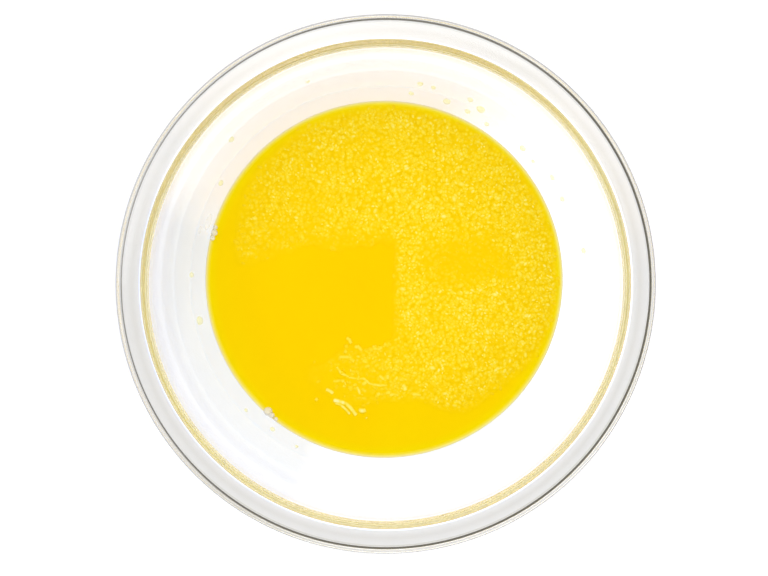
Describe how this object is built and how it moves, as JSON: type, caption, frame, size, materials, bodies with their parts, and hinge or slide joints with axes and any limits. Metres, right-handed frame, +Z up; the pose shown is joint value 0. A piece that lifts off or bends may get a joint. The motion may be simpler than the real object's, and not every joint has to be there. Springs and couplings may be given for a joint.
{
  "type": "glass mixing bowl with beaten mixture",
  "caption": "Clear round glass mixing bowl with a flat turned-down rim and foot ring, holding a frothy yellow beaten mixture.",
  "frame": {"origin": "centre of the foot, on the surface that the bowl stands on", "axes": "+Z up along the bowl's axis; -Y towards the bottom edge of the picture, +X to its right"},
  "size_m": [0.19, 0.19, 0.08],
  "materials": {
    "clear_glass": "clear, fire-polished",
    "mixture": "wet, opaque liquid",
    "froth": "wet fine bubbles",
    "drops": "wet, thin liquid",
    "clear_bubbles": "thin wet film"
  },
  "bodies": {
    "root": {"glass_bowl": "clear_glass", "mixture": "mixture", "froth": "froth", "wall_drops": "drops", "edge_bubbles": "clear_bubbles"}
  },
  "joints": []
}
